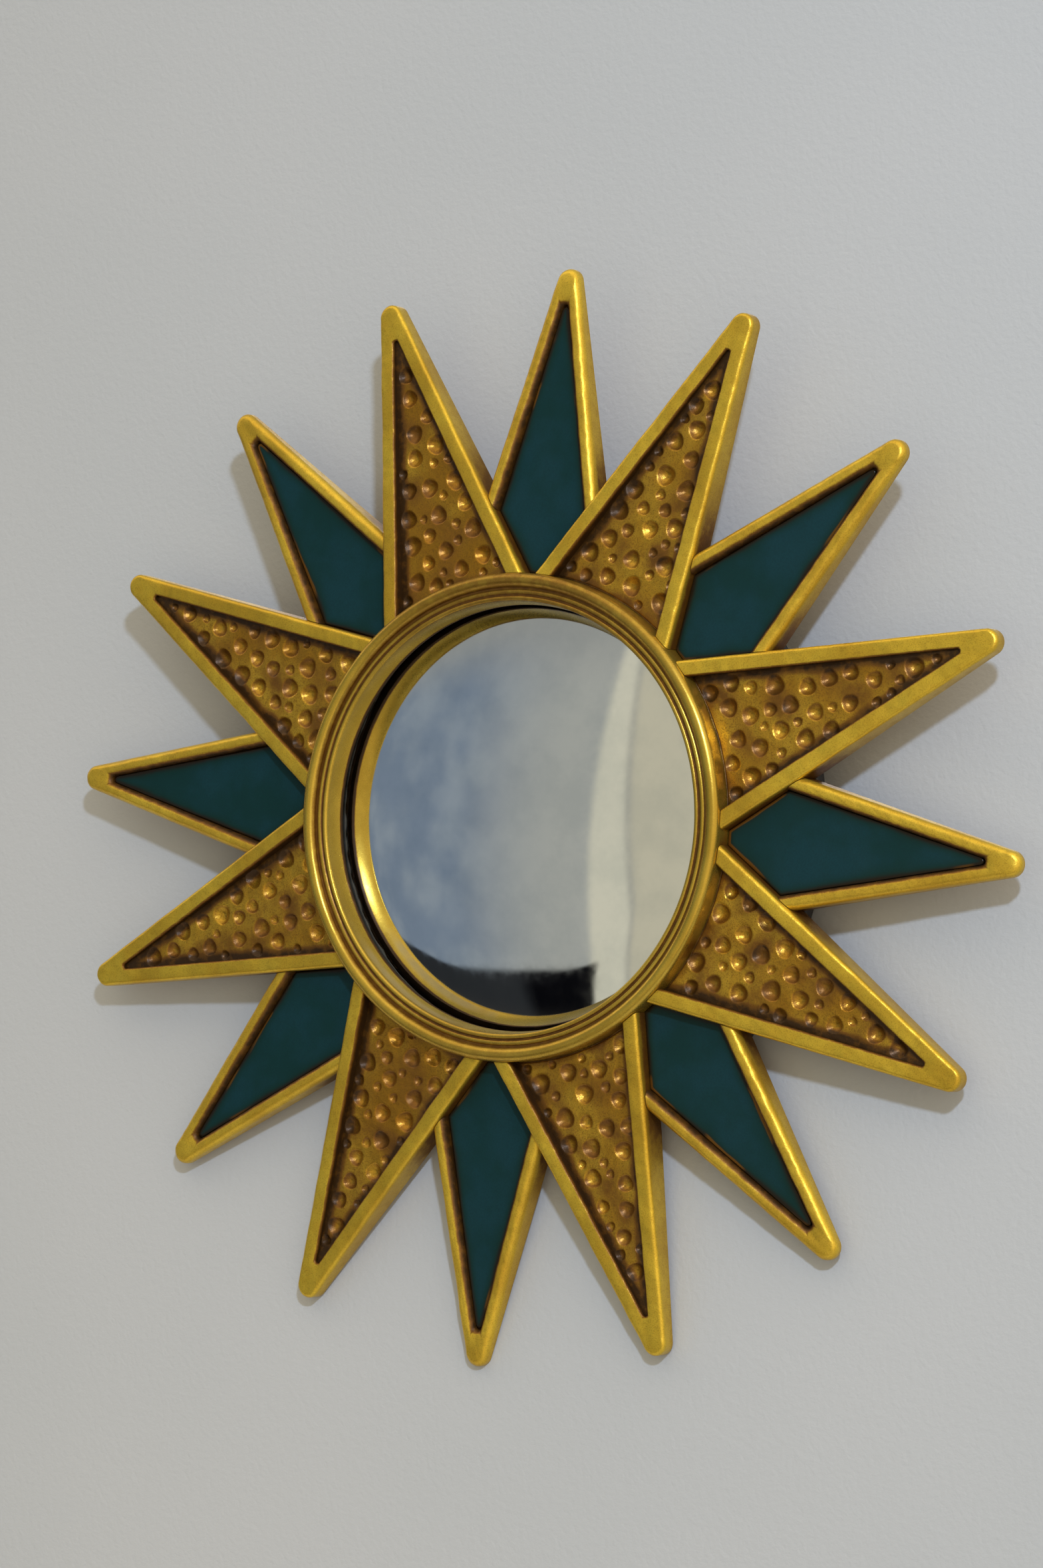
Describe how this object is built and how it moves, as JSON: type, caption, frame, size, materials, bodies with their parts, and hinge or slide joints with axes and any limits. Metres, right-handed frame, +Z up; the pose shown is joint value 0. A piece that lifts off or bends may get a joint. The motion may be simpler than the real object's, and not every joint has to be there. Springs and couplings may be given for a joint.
{
  "type": "sunburst wall mirror",
  "caption": "Round domed wall mirror in a turned gilded ring with a sunburst of pointed rays: dimpled gilt rays alternate with framed dark teal glass panes",
  "frame": {"origin": "centre of the back disc's rear face, on the mirror's axis", "axes": "+Z up with the mirror hung on a wall, front faces -Y, wall on the +Y side, +X to the right as seen from the front"},
  "size_m": [0.6, 0.0373, 0.6],
  "materials": {
    "mirror": "domed silvered glass, slightly cloudy",
    "board": "bare brown backing board",
    "putty": "dried grey putty",
    "gilt_ring": "turned wood, gilded, brown patina in the grooves",
    "gilt_hammered": "gilded wood with punched dimples and rubbed patina",
    "gilt_teal_frame": "gilded wood with stippled rounded rims",
    "teal_glass": "glass pane back-painted dark teal, glossy",
    "black_board": "board painted black, satin",
    "steel": "zinc-plated strap",
    "steel_wire": "zinc-plated wire",
    "screw_steel": "yellow-zinc screws",
    "bumper": "matte black rubber pads"
  },
  "bodies": {
    "mirror": {"back_disc": "black_board", "backing_board": "board", "glazing_putty": "putty", "hammered_ray_1": "gilt_hammered", "hammered_ray_2": "gilt_hammered", "hammered_ray_3": "gilt_hammered", "hammered_ray_4": "gilt_hammered", "hammered_ray_5": "gilt_hammered", "hammered_ray_6": "gilt_hammered", "hammered_ray_7": "gilt_hammered", "hammered_ray_8": "gilt_hammered", "hanger_screws": "screw_steel", "hanger_strap": "steel", "mirror_glass": "mirror", "ray_screws": "screw_steel", "ring_moulding": "gilt_ring", "ring_screws": "screw_steel", "teal_pane_1": "teal_glass", "teal_pane_2": "teal_glass", "teal_pane_3": "teal_glass", "teal_pane_4": "teal_glass", "teal_pane_5": "teal_glass", "teal_pane_6": "teal_glass", "teal_pane_7": "teal_glass", "teal_pane_8": "teal_glass", "teal_ray_1": "gilt_teal_frame", "teal_ray_2": "gilt_teal_frame", "teal_ray_3": "gilt_teal_frame", "teal_ray_4": "gilt_teal_frame", "teal_ray_5": "gilt_teal_frame", "teal_ray_6": "gilt_teal_frame", "teal_ray_7": "gilt_teal_frame", "teal_ray_8": "gilt_teal_frame", "wall_bumpers": "bumper"},
    "loop": {"hanger_ring": "steel_wire"}
  },
  "joints": [
    {"name": "loop_hinge", "type": "hinge", "parent": "mirror", "child": "loop", "pos_m": [0, 0.002, 0.116], "axis": [-1, 0, 0], "range_deg": [0, 165]}
  ]
}
